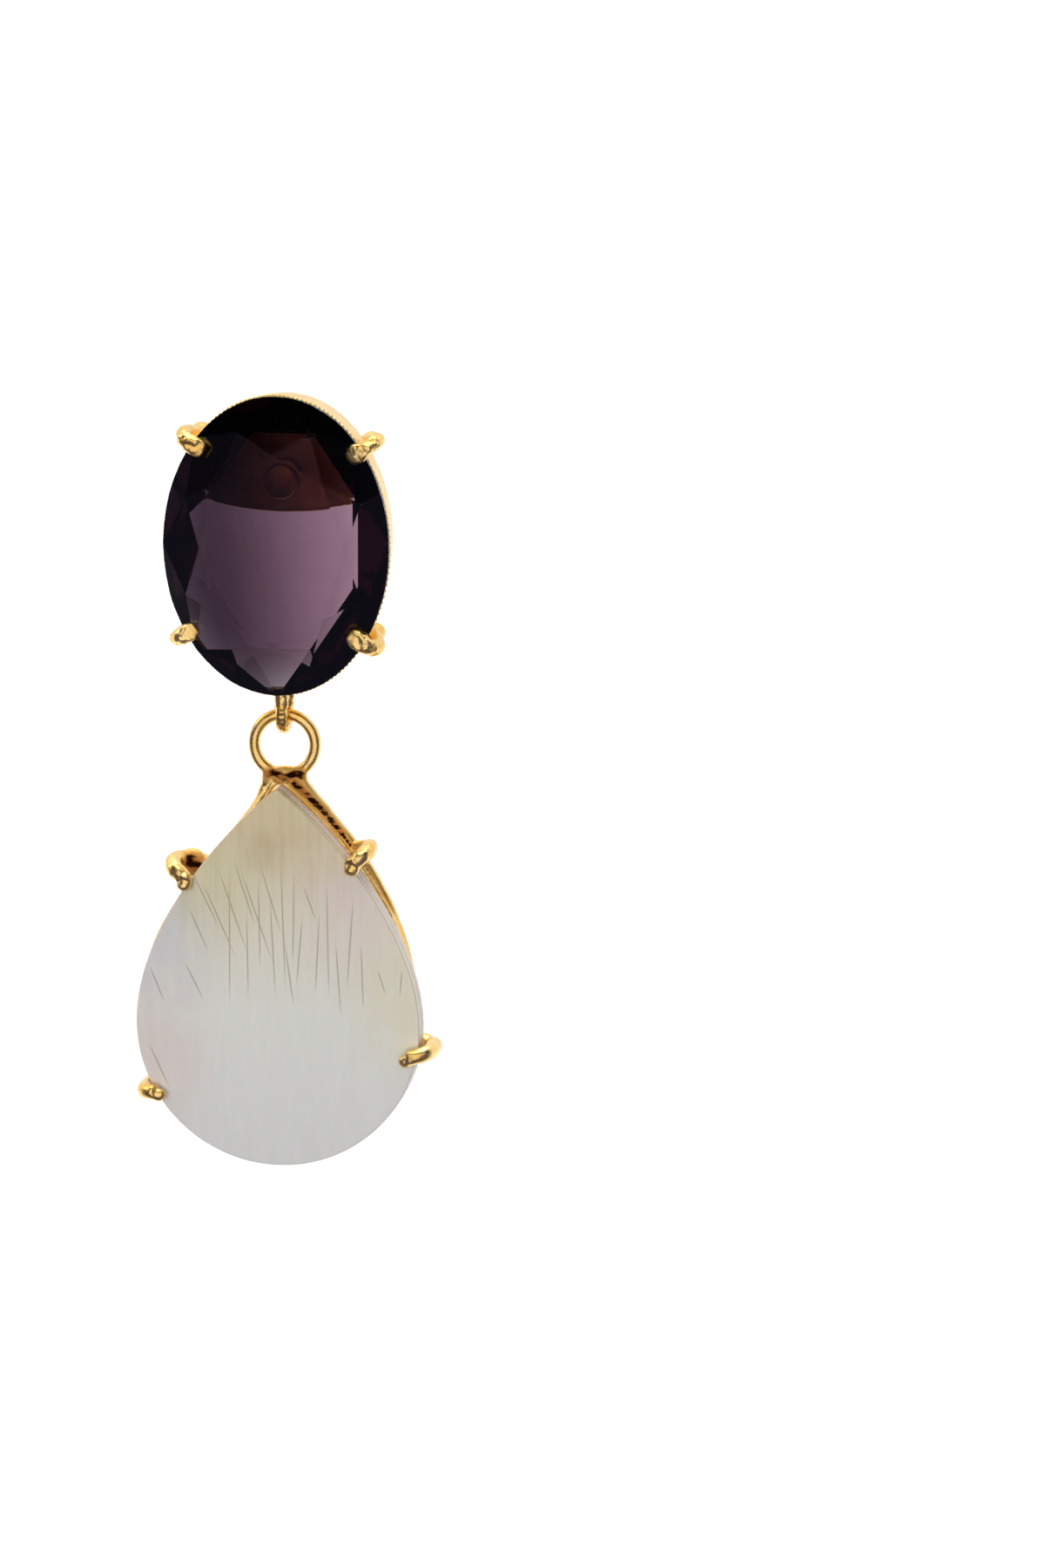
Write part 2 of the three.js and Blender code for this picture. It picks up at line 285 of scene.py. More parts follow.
def nip(wire, end, depth, outward, lean):
    """Cuts a wire's end off flat, as pliers do. The cut looks to the front and leans in from it."""
    facing = Vector((0, -1, 0)) * math.cos(math.radians(lean)) - outward * math.sin(math.radians(lean))
    take(wire)
    bpy.ops.object.mode_set(mode="EDIT")
    bpy.ops.mesh.select_all(action="SELECT")
    bpy.ops.mesh.remove_doubles(threshold=0.001)
    bpy.ops.mesh.select_all(action="SELECT")
    bpy.ops.mesh.bisect(plane_co=end + facing * depth, plane_no=facing, use_fill=True, clear_outer=True)
    bpy.ops.mesh.select_all(action="SELECT")
    bpy.ops.mesh.normals_make_consistent(inside=False)
    bpy.ops.object.mode_set(mode="OBJECT")
    return wire


def near_lines(lines):
    """A function of the place that is 1 on a line's points and falls to 0 at that line's reach. Places and
    reaches are millimetres."""
    places = [(place, reach) for points, reach in lines for place in points]
    tree = KDTree(len(places))
    for i, (place, reach) in enumerate(places):
        tree.insert(place, i)
    tree.balance()

    def share(place):
        nearest, i, away = tree.find(place)
        return max(0.0, 1.0 - away / places[i][1])

    return share


def mark(piece, name, where):
    """Stores a function of the place on each vertex, for the material to read."""
    layer = piece.data.attributes.new(name, "FLOAT", "POINT")
    for vertex in piece.data.vertices:
        layer.data[vertex.index].value = where(vertex.co)


def finish_piece(piece, name, body, slot, material, *nodes):
    """Brings a piece from millimetres to metres, names it and hands it to the frame."""
    take(piece)
    piece.name = name
    bpy.ops.object.transform_apply(location=True, rotation=True, scale=True)
    piece.scale = (MM, MM, MM)
    bpy.ops.object.transform_apply(location=True, rotation=True, scale=True)
    piece.data.materials.clear()
    piece.data.materials.append(material)
    piece.vertex_groups.clear()
    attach(piece, body)
    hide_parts(*nodes)
    return piece


# Shapes

def oval_disc(half_width, half_height, back_y, front_y, centre_z=oval_z, steps=160, taper=0.0):
    """A flat oval plate, drawn as a circle, stretched and extruded, and narrower at its back by a taper."""
    deselect()
    bpy.ops.mesh.primitive_circle_add(
        vertices=steps,
        radius=1,
        fill_type="NGON",
        location=(0, back_y, centre_z),
        rotation=(math.pi / 2, 0, 0),
    )
    disc = bpy.context.object
    disc.scale = (half_width - taper, half_height - taper, 1)
    bpy.ops.object.transform_apply(location=True, rotation=True, scale=True)
    bpy.ops.object.mode_set(mode="EDIT")
    bpy.ops.mesh.select_all(action="SELECT")
    bpy.ops.mesh.extrude_region_move(TRANSFORM_OT_translate={"value": (0, front_y - back_y, 0)})
    widen = (half_width / (half_width - taper), 1, half_height / (half_height - taper))
    bpy.ops.transform.resize(value=widen, center_override=(0, front_y, centre_z))
    bpy.ops.mesh.select_all(action="SELECT")
    bpy.ops.mesh.normals_make_consistent(inside=False)
    bpy.ops.object.mode_set(mode="OBJECT")
    return disc


def carve(piece, cutter, operation):
    """Cuts a piece by another, or to what the two share, and does away with the cutter."""
    modify(piece, "BOOLEAN", object=cutter, operation=operation, solver="EXACT")
    bpy.data.objects.remove(cutter)
    return piece


def stone_cutter():
    """A copy of the oval stone in millimetres, larger by the seat's gap all round."""
    take(frame["nodes"]["amethyst"])
    bpy.ops.object.duplicate()
    cutter = bpy.context.object
    bpy.ops.object.parent_clear(type="CLEAR_KEEP_TRANSFORM")
    size = stone_high - stone_low
    grown = Vector([(side + 2 * seat_gap) / side for side in size])
    middle = (stone_high + stone_low) / 2
    cutter.scale = grown / MM
    cutter.location = middle - Vector([m * g for m, g in zip(middle, grown)])
    bpy.ops.object.transform_apply(location=True, rotation=True, scale=True)
    bpy.ops.object.mode_set(mode="EDIT")
    bpy.ops.mesh.select_all(action="SELECT")
    bpy.ops.mesh.remove_doubles(threshold=0.001)
    bpy.ops.object.mode_set(mode="OBJECT")
    return cutter


def rim_with_floor():
    """The oval rim, and behind the post the floor that ends in a bowed edge."""
    half_width = oval_half_width - rim_inset
    half_height = oval_half_height - rim_inset / 2
    well = (half_width - rim_wall, half_height - rim_wall)
    rim = oval_disc(half_width, half_height, 0, rim_front_y, taper=rim_taper)
    carve(rim, oval_disc(*well, 1, rim_front_y - 1), "DIFFERENCE")
    floor = oval_disc(well[0] + floor_lap, well[1] + floor_lap, 0, -floor_thickness)
    bow_centre = oval_z + floor_above_centre + floor_bow
    carve(floor, oval_disc(floor_bow, floor_bow, 1, -1 - floor_thickness, bow_centre, steps=480), "INTERSECT")
    return weld(rim, floor)


def oval_prong(turn, stand_off, reach, end, lean):
    """A hook from the rim's side round the girdle to its nipped end on the crown."""
    angle = math.radians(turn)
    edge = Vector((oval_half_width * math.cos(angle), 0, oval_z + oval_half_height * math.sin(angle)))
    outward = Vector((oval_half_height * math.cos(angle), 0, oval_half_width * math.sin(angle))).normalized()
    front_rim = girdle_y - girdle_thickness / 2
    radius = oval_prong_wire / 2
    root_y = -1.0
    places = [
        (-rim_wall / 2, root_y, 1.0),
        (stand_off * 0.55, (girdle_y + root_y) / 2, 1.0),
        (stand_off, girdle_y, 1.0),
        (stand_off * 0.55, front_rim - radius, 1.0),
        (-reach * 0.4, front_rim - radius - reach * 0.4, end),
        (-reach, front_rim - radius - reach * 0.48, end),
    ]
    points = [edge + outward * out + Vector((0, y, 0)) for out, y, width in places]
    hook = bend_wire(points, oval_prong_wire, [width for out, y, width in places])
    end_bead = bead(points[-1], oval_prong_wire * end)
    nipped = [nip(piece, points[-1], radius * 0.6, outward, lean) for piece in (hook, end_bead)]
    foot = bead(points[0] + outward * 0.45, prong_foot, (0.9, 1.1, 0.9))
    return weld(*nipped, foot)


def bail():
    """A loop of wire that hangs under the rim, broader at its top."""
    bend_z = hinge.z + bail_bend
    top_z = oval_z - oval_half_height + rim_wall * 0.85
    middle_z = (top_z + bend_z) / 2
    start = bail_top_wire / bail_wire
    diagonal = bail_bend * math.sqrt(0.5)
    points = [
        (0, hinge.y + bail_bend, top_z),
        (0, hinge.y + bail_bend, middle_z),
        (0, hinge.y + bail_bend, bend_z),
        (0, hinge.y + diagonal, bend_z - diagonal),
        (0, hinge.y, hinge.z),
        (0, hinge.y - diagonal, bend_z - diagonal),
        (0, hinge.y - bail_bend, bend_z),
        (0, hinge.y - bail_bend, middle_z),
        (0, hinge.y - bail_bend, top_z),
    ]
    return bend_wire(points, bail_wire, [start, 1.1, 1, 1, 1, 1, 1, 1.14, start])


def milgrain():
    """A row of fine beads round the rim, just behind the stone. One is modelled and the rest are copies."""
    half_width = oval_half_width - rim_inset
    half_height = oval_half_height - rim_inset / 2
    ratio = ((half_width - half_height) / (half_width + half_height)) ** 2
    length = math.pi * (half_width + half_height) * (1 + ratio / 4)
    count = round(length / milgrain_pitch)
    y = rim_front_y + milgrain_set_back
    deselect()
    bpy.ops.mesh.primitive_ico_sphere_add(
        subdivisions=2, radius=milgrain_bead / 2, location=(half_width, y, oval_z)
    )
    beads = [bpy.context.object]
    for i in range(1, count):
        turn = 2 * math.pi * i / count
        take(beads[0])
        bpy.ops.object.duplicate()
        bpy.context.object.location = (half_width * math.cos(turn), y, oval_z + half_height * math.sin(turn))
        beads.append(bpy.context.object)
    return weld(*beads)


def inside_cup(place):
    """The cup's inside was never polished: a little dull all over."""
    across = place.x / (oval_half_width - rim_inset - rim_wall + 0.2)
    along = (place.z - oval_z) / (oval_half_height - rim_wall + 0.2)
    deep = place.y < -floor_thickness / 2
    return 0.14 if deep and across * across + along * along < 1 else 0.0


def on_bail(place):
    return 1.0 if place.z < oval_z - oval_half_height - 0.3 else 0.0


def on_prong_ends(place):
    return 1.0 if place.y < girdle_y - 0.35 else 0.0


def top_setting():
    """Rim, floor, prongs and bail, melted into one and then given a rough bail and a beaded edge."""
    setting = weld(rim_with_floor(), bail(), *[oval_prong(**prong) for prong in oval_prongs])
    flow_together(setting, rim_grain, 5)
    roughen(setting, "wavy wall", 2.2, 0.04)
    roughen(setting, "cast bail", 0.3, 0.2, on_bail)
    roughen(setting, "filed prongs", 0.5, 0.26, on_prong_ends)
    carve(setting, stone_cutter(), "DIFFERENCE")
    mark(setting, "dullness_and_shade", inside_cup)
    grains = milgrain()
    take(setting)
    bpy.ops.object.shade_smooth()
    take(grains)
    bpy.ops.object.shade_smooth()
    return weld(setting, grains)


def flank(side, inset, tip_angle, tip_pull, flank_pull, tip_x=0.0, tip_rise=0.0):
    """The Bezier places of a flank from the tip to where the pear is widest, on the right with side 1."""
    lean = math.radians(tip_angle)
    tip = Vector((side * tip_x, 0, pear_tip_z + tip_rise))
    after_tip = tip + Vector((side * math.sin(lean), 0, -math.cos(lean))) * tip_pull
    wide = Vector((side * (pear_half_width - inset), 0, pear_wide_z))
    return [tip, after_tip, wide + Vector((0, 0, flank_pull)), wide]


def bezier(places, t):
    a, b, c, d = places
    return a * (1 - t) ** 3 + b * 3 * t * (1 - t) ** 2 + c * 3 * t * t * (1 - t) + d * t**3


def pear_curve(left, right, y):
    """A curve from the tip down the right flank, round the foot and up the left flank."""
    radius = (right[3].x - left[3].x) / 2
    bottom = Vector(((right[3].x + left[3].x) / 2, 0, pear_wide_z - radius))
    pull = radius * 0.5523
    down = Vector((0, 0, -pull))
    aside = Vector((pull, 0, 0))
    places = [
        (right[0], right[0], right[1]),
        (right[2], right[3], right[3] + down),
        (bottom + aside, bottom, bottom - aside),
        (left[3] + down, left[3], left[2]),
        (left[1], left[0], left[0]),
    ]
    deselect()
    bpy.ops.curve.primitive_bezier_curve_add()
    curve = bpy.context.object
    spline = curve.data.splines[0]
    spline.bezier_points.add(len(places) - len(spline.bezier_points))
    for point, (before, here, after) in zip(spline.bezier_points, places):
        point.handle_left_type = "FREE"
        point.handle_right_type = "FREE"
        point.co = here + Vector((0, y, 0))
        point.handle_left = before + Vector((0, y, 0))
        point.handle_right = after + Vector((0, y, 0))
        point.radius = 1.0
    curve.data.resolution_u = 48
    return curve


def frame_flank(side, more_inset=0.0):
    shape = dict(frame_right if side > 0 else frame_left)
    shape["inset"] += more_inset
    return flank(side, tip_x=frame_foot, tip_rise=frame_foot_rise, **shape)


def frame_loops():
    """The outer wire, and the bearing wire in front of it that keeps close behind the plate's edge."""
    outer = pear_curve(frame_flank(-1), frame_flank(1), hinge.y)
    bearing = pear_curve(frame_flank(-1, bearing_inset), flank(1, **bearing_right), bearing_y)
    return [draw_wire(outer, frame_wire), draw_wire(bearing, bearing_wire)]


def plate_edge(side, below):
    """The point of the plate's outline at a depth under its tip, and the direction that faces outwards."""
    z = pear_tip_z - below
    if z <= pear_wide_z:
        x = math.sqrt(max(pear_half_width**2 - (z - pear_wide_z) ** 2, 0))
        edge = Vector((side * x, 0, z))
        return edge, (edge - Vector((0, 0, pear_wide_z))).normalized()
    a, b, c, d = flank(1, **pear_flank)
    low, high = 0.0, 1.0
    for step in range(30):
        t = (low + high) / 2
        here = bezier((a, b, c, d), t)
        low, high = (t, high) if here.z > z else (low, t)
    along = ((b - a) * (1 - t) ** 2 + (c - b) * 2 * t * (1 - t) + (d - c) * t * t).normalized()
    return Vector((side * here.x, 0, here.z)), Vector((-side * along.z, 0, along.x)).normalized()


def pear_prong(side, below, stand_off, reach, slip, tilt, lean, web):
    """A C-shaped hook from the frame round the plate's edge, with its nipped end over the front."""
    edge, outward = plate_edge(side, below)
    turned = math.radians(-side * tilt)
    outward = Vector((
        outward.x * math.cos(turned) + outward.z * math.sin(turned),
        0,
        outward.z * math.cos(turned) - outward.x * math.sin(turned),
    ))
    downhill = Vector((outward.z, 0, -outward.x)) * side
    if downhill.z > 0:
        downhill = -downhill
    radius = pear_prong_wire / 2
    places = [
        (-pear_prong_root, hinge.y, 0, 1.0),
        (stand_off * 0.55, hinge.y - 0.1, 0, 1.0),
        (stand_off * 0.98, plate_back_y - 0.75, 0, 1.05),
        (stand_off * 0.8, plate_front_y - 0.05, slip * 0.3, 1.05),
        (stand_off * 0.25, plate_front_y - radius * 0.9, slip * 0.8, 1.0),
        (-reach, plate_front_y - radius - 0.12, slip, 0.98),
    ]
    points = [edge + outward * out + Vector((0, y, 0)) + downhill * slid for out, y, slid, width in places]
    hook = bend_wire(points, pear_prong_wire, [width for out, y, slid, width in places])
    burr = bead(points[-1] - outward * 0.12 + downhill * 0.22 + Vector((0, 0.12, 0)), 1.0, (1, 0.8, 0.9))
    nipped = [nip(piece, points[-1], radius * 0.66, outward, lean) for piece in (hook, burr)]
    foot = bead(points[0] + outward * 0.45 + Vector((0, -0.1, 0)), prong_foot, (1.1, 0.9, 1.1))
    skin = bead(edge + outward * stand_off * 0.4 + Vector((0, hinge.y - 0.3, 0)), web, (1, 0.6, 1))
    return weld(*nipped, foot, skin)


def ring():
    deselect()
    bpy.ops.mesh.primitive_torus_add(
        major_segments=96,
        minor_segments=24,
        major_radius=ring_hole + ring_wire / 2,
        minor_radius=ring_wire / 2,
        location=(0, hinge.y, ring_z),
        rotation=(math.pi / 2, 0, 0),
    )
    bpy.ops.object.transform_apply(location=True, rotation=True, scale=True)
    return bpy.context.object


def solder_bridge():
    """The solder that fills the neck between ring and frame and runs down both flanks of the frame."""
    neck = bead((0, hinge.y, neck_z + 0.25), 1.0, (2.6, 0.9, 1.5))
    ridge = bead((0.3, hinge.y - 0.3, neck_z + 0.3), 0.6, (1.8, 0.7, 0.8))
    y = hinge.y - 0.05
    legs = []
    for leg in solder_legs:
        side = leg["side"]
        points = [
            Vector((side * 1.2, hinge.y, neck_z + 0.9)),
            Vector((side * 1.05, y, neck_z + 0.15)),
            Vector((side * leg["shoulder"], y, neck_z - 0.65)),
            Vector((side * solder_leg_spread, y, neck_z - leg["down"])),
        ]
        legs.append(bend_wire(points, solder_leg_wire, [0.7, 0.95, 0.95, leg["end"]]))
    return weld(neck, ridge, *legs)


def near_neck(place):
    neck = Vector((0, hinge.y, neck_z + 0.3))
    return max(0.0, min(1.0, 1.6 - (place - neck).length / neck_reach))


def on_bearing_wire(place):
    if place.y > bearing_y + 0.1 or place.z < pear_wide_z + 4.5:
        return 0.0
    return 0.8


def shade_and_scale_lines():
    """Where brown is painted as shade, partly torch scale: the groove between the two wires, the neck, and
    inside the bows.
    """
    groove = [bezier(frame_flank(1, 0.05), i / 60) for i in range(3, 42)]
    groove = [place + Vector((0, hinge.y - frame_wire / 2, 0)) for place in groove]
    neck = [(0.1 * i - 1.1, 0.42 + 0.16 * math.sin(0.4 * i)) for i in range(24)]
    neck = [Vector((x, hinge.y - 0.45, neck_z + z)) for x, z in neck]
    lines = [(groove[:22], 0.66), (groove[22:], 0.4), (neck, 0.6)]
    for prong in pear_prongs[:2]:
        edge, outward = plate_edge(prong["side"], prong["below"])
        inside = [edge + outward * (0.1 * i) + Vector((0, hinge.y - 0.85, 0)) for i in range(2, 9)]
        lines.append((inside, 1.1))
    return lines


def drop_setting():
    """Ring, frame wires, solder and prongs, melted into one; the neck and bearing wire stay rough."""
    prongs = [pear_prong(**prong) for prong in pear_prongs]
    setting = weld(ring(), solder_bridge(), *frame_loops(), *prongs)
    flow_together(setting, drop_grain, 6)
    roughen(setting, "hand-bent wire", 1.6, 0.06)
    roughen(setting, "rough solder", 0.5, 0.2, near_neck)
    roughen(setting, "rough bearing", 0.4, 0.09, on_bearing_wire)
    # Painted shade, partly fire scale: dark brown along the groove between the wires, the neck and inside the
    # bows
    mark(setting, "dullness_and_shade", near_lines(shade_and_scale_lines()))
    take(setting)
    bpy.ops.object.shade_smooth()
    return setting


def pearl_plate():
    """Two layers of shell, glued back to back, with the joint as a fine groove round the side."""
    joint_y = plate_front_y + (plate_back_y - plate_front_y) * shell_joint_share
    layers = []
    for front_y, back_y in [(plate_front_y, joint_y), (joint_y, plate_back_y)]:
        outline = pear_curve(flank(-1, **pear_flank), flank(1, **pear_flank), back_y)
        take(outline)
        bpy.ops.object.convert(target="MESH")
        layer = bpy.context.object
        bpy.ops.object.mode_set(mode="EDIT")
        bpy.ops.mesh.select_all(action="SELECT")
        bpy.ops.mesh.remove_doubles(threshold=0.001)
        bpy.ops.mesh.select_all(action="SELECT")
        bpy.ops.mesh.edge_face_add()
        bpy.ops.mesh.extrude_region_move(TRANSFORM_OT_translate={"value": (0, front_y - back_y, 0)})
        bpy.ops.mesh.select_all(action="SELECT")
        bpy.ops.mesh.normals_make_consistent(inside=False)
        bpy.ops.object.mode_set(mode="OBJECT")
        modify(
            layer, "BEVEL", width=pear_edge, segments=4, limit_method="ANGLE", angle_limit=math.radians(40)
        )
        layers.append(layer)
    plate = weld(*layers)
    bpy.ops.object.shade_smooth_by_angle(angle=math.radians(30))
    return plate


def ear_post():
    """A pin with a flat head inside the rim's floor and a notch near its tip, drawn out as on a lathe."""
    wire = post_wire / 2
    tip = post_high.y
    notch = tip - post_notch_from_tip
    head_front = post_low.y + 0.01
    head_back = head_front + post_head_thickness
    profile = [
        (head_front, post_head / 2 - 0.08),
        (head_front + 0.08, post_head / 2),
        (head_back - 0.06, post_head / 2),
        (head_back, post_head / 2 - 0.06),
        (head_back, wire),
        (notch - wire, wire),
        (notch - wire / 2, wire - post_notch),
        (notch + wire / 2, wire - post_notch),
        (notch + wire, wire),
        (tip - wire, wire),
        (tip - wire * 0.5, wire * 0.88),
        (tip - wire * 0.15, wire * 0.6),
        (tip, wire * 0.25),
    ]
    start_y, start_radius = profile[0]
    deselect()
    bpy.ops.mesh.primitive_circle_add(
        vertices=40,
        radius=start_radius,
        fill_type="NGON",
        location=(0, start_y, 0),
        rotation=(math.pi / 2, 0, 0),
    )
    post = bpy.context.object
    bpy.ops.object.transform_apply(location=True, rotation=True, scale=True)
    bpy.ops.object.mode_set(mode="EDIT")
    bpy.ops.mesh.select_all(action="SELECT")
    y, radius = start_y, start_radius
    for next_y, next_radius in profile[1:]:
        bpy.ops.mesh.extrude_region_move(TRANSFORM_OT_translate={"value": (0, next_y - y, 0)})
        share = next_radius / radius
        bpy.ops.transform.resize(value=(share, 1, share), center_override=(0, next_y, 0))
        y, radius = next_y, next_radius
    bpy.ops.mesh.select_all(action="SELECT")
    bpy.ops.mesh.normals_make_consistent(inside=False)
    bpy.ops.object.mode_set(mode="OBJECT")
    modify(post, "BEVEL", width=0.03, segments=2, limit_method="ANGLE", angle_limit=math.radians(35))
    mark(post, "dullness_and_shade", lambda place: 0.2 if place.y < 0 else 0.0)
    take(post)
    bpy.ops.object.shade_smooth_by_angle(angle=math.radians(30))
    return post


# Materials

gold_bright = "#f9d68c"
gold_deep = "#f1c268"

# Sizes of the marks in millimetres, along each axis where they are stretched. The grain of the casting
# and the rings of the drawn wire are coarser than the real ones, so that they show
gilt_cloud = 1.8
rub_mark = 0.5
# Creases of the dark brown painted as shade, partly fire scale
shade_and_scale_crease = (0.99, 0.45, 0.315)
cast_grain = 0.2
cast_grain_depth = 0.02
wire_cloud = 1.5
drawing_ring = (0.9, 0.15, 0.9)
drawing_ring_depth = 0.01
amethyst_haze = 5.0
shell_cloud_edge = 2.6
brush_streak = (0.32, 0.32, 7.04)
shell_silk = (0.5, 0.5, 3.0)
scratch_depth = 0.015
hairline_width = 0.06


def linear(code):
    """A colour from its sRGB hex code to Blender's linear values."""
    shares = [int(code[i:i + 2], 16) / 255 for i in (1, 3, 5)]
    return [s / 12.92 if s <= 0.04045 else ((s + 0.055) / 1.055) ** 2.4 for s in shares] + [1.0]


def node(tree, kind, inputs=(), out=0, **settings):
    """Adds a node with its settings and gives back one of its outputs, if it has any. Its inputs, in their
    order or by name or number, are values, hex codes of colours or outputs of other nodes. In a colour Mix
    input 0 is the share, 6 the colour underneath and 7 the one laid over it, and output 2 the result."""
    made = tree.nodes.new(kind)
    for name, value in settings.items():
        setattr(made, name, value)
    for socket, value in inputs.items() if isinstance(inputs, dict) else enumerate(inputs):
        if isinstance(value, bpy.types.NodeSocket):
            tree.links.new(value, made.inputs[socket])
        else:
            made.inputs[socket].default_value = linear(value) if isinstance(value, str) else value
    return made.outputs[out] if made.outputs else made


def new_material(name):
    material = bpy.data.materials.new(name)
    material.use_nodes = True
    material.node_tree.nodes.clear()
    return material, material.node_tree


def repeats(size):
    """How many marks of a size in millimetres fit in a metre."""
    return 1 / (MM * size)


def gilt_brass():
    """Gold-plated cast brass with a hand-rubbed satin polish: warm yellow with soft broad highlights, and
    where it is marked, dull metal with dark brown painted into its creases: painted shade, and partly fire
    scale that the polishing didn't reach."""
    material, tree = new_material("gilt cast brass")
    place = node(tree, "ShaderNodeTexCoord", out="Object")
    drift = node(tree, "ShaderNodeTexNoise", {"Vector": place, "Scale": repeats(gilt_cloud), "Detail": 3.0})
    drift = node(tree, "ShaderNodeMapRange", (drift, 0.35, 0.65), interpolation_type="SMOOTHSTEP")
    colour = node(tree, "ShaderNodeMix", {0: drift, 6: gold_bright, 7: gold_deep}, 2, data_type="RGBA")
    rubs = node(tree, "ShaderNodeTexNoise", {"Vector": place, "Scale": repeats(rub_mark), "Detail": 3.0})
    satin = node(tree, "ShaderNodeMapRange", (rubs, 0.3, 0.7, 0.24, 0.34), interpolation_type="SMOOTHSTEP")

    # Painted shade, partly fire scale: where the mark is high, a warm brown halo and dark brown in the
    # creases
    dullness_and_shade = node(tree, "ShaderNodeAttribute", out="Fac", attribute_name="dullness_and_shade")
    sizes = [repeats(size) for size in shade_and_scale_crease]
    stretched = node(tree, "ShaderNodeMapping", {"Vector": place, "Scale": sizes})
    creases = node(tree, "ShaderNodeTexNoise", {"Vector": stretched, "Scale": 1.0, "Detail": 4.0})
    helped = node(tree, "ShaderNodeMath", (dullness_and_shade, 0.25), operation="MULTIPLY")
    scale = node(tree, "ShaderNodeMath", (creases, helped), operation="ADD")
    scale = node(tree, "ShaderNodeMapRange", (scale, 0.62, 0.74), interpolation_type="SMOOTHSTEP")
    shade_and_scale_gate = node(tree, "ShaderNodeMapRange", (dullness_and_shade, 0.5, 0.7), interpolation_type="SMOOTHSTEP")
    scale = node(tree, "ShaderNodeMath", (scale, shade_and_scale_gate), operation="MULTIPLY")
    thick = node(tree, "ShaderNodeMapRange", (dullness_and_shade, 0.55, 0.8), interpolation_type="SMOOTHSTEP")
    broken = node(tree, "ShaderNodeMapRange", (creases, 0.4, 0.52), interpolation_type="SMOOTHSTEP")
    core = node(tree, "ShaderNodeMath", (thick, broken), operation="MULTIPLY")
    scale = node(tree, "ShaderNodeMath", (scale, core), operation="MAXIMUM")

    # The warm brown halo and the dark brown cores are painted shade round the grooves, the neck and the bows
    warmed = node(tree, "ShaderNodeMapRange", (dullness_and_shade, 0.1, 0.8), interpolation_type="SMOOTHSTEP")
    warmed = node(tree, "ShaderNodeMath", (warmed, 0.45), operation="MULTIPLY")
    colour = node(tree, "ShaderNodeMix", {0: warmed, 6: colour, 7: "#d98a3a"}, 2, data_type="RGBA")
    colour = node(tree, "ShaderNodeMix", {0: scale, 6: colour, 7: "#4a2408"}, 2, data_type="RGBA")
    dull = node(tree, "ShaderNodeMath", (dullness_and_shade, 0.8), operation="MULTIPLY")
    roughness = node(tree, "ShaderNodeMath", (satin, dull), operation="ADD")
    grain = node(tree, "ShaderNodeTexNoise", {"Vector": place, "Scale": repeats(cast_grain), "Detail": 4.0})
    skin = {"Height": grain, "Strength": 0.6, "Distance": MM * cast_grain_depth}
    metal = {
        "Base Color": colour,
        "Roughness": roughness,
        "Metallic": 1.0,
        "Normal": node(tree, "ShaderNodeBump", skin),
    }
    node(tree, "ShaderNodeOutputMaterial", {"Surface": node(tree, "ShaderNodeBsdfPrincipled", metal)})
    return material


def polished_gilt():
    """Drawn and polished gold-plated wire: nearly a mirror, with faint rings from the drawing, and dull
    on its head inside the cup."""
    material, tree = new_material("gilt wire")
    place = node(tree, "ShaderNodeTexCoord", out="Object")
    drift = node(tree, "ShaderNodeTexNoise", {"Vector": place, "Scale": repeats(wire_cloud), "Detail": 3.0})
    drift = node(tree, "ShaderNodeMapRange", (drift, 0.35, 0.65), interpolation_type="SMOOTHSTEP")
    colour = node(tree, "ShaderNodeMix", {0: drift, 6: gold_bright, 7: gold_deep}, 2, data_type="RGBA")
    sizes = [repeats(size) for size in drawing_ring]
    stretched = node(tree, "ShaderNodeMapping", {"Vector": place, "Scale": sizes})
    rings = node(tree, "ShaderNodeTexNoise", {"Vector": stretched, "Scale": 1.0, "Detail": 2.0})
    gloss = node(tree, "ShaderNodeMapRange", (rings, 0.3, 0.7, 0.12, 0.22), interpolation_type="SMOOTHSTEP")
    dullness_and_shade = node(tree, "ShaderNodeAttribute", out="Fac", attribute_name="dullness_and_shade")
    dull = node(tree, "ShaderNodeMath", (dullness_and_shade, 1.2), operation="MULTIPLY")
    roughness = node(tree, "ShaderNodeMath", (gloss, dull), operation="ADD")
    skin = {"Height": rings, "Strength": 0.4, "Distance": MM * drawing_ring_depth}
    metal = {
        "Base Color": colour,
        "Roughness": roughness,
        "Metallic": 1.0,
        "Normal": node(tree, "ShaderNodeBump", skin),
    }
    node(tree, "ShaderNodeOutputMaterial", {"Surface": node(tree, "ShaderNodeBsdfPrincipled", metal)})
    return material


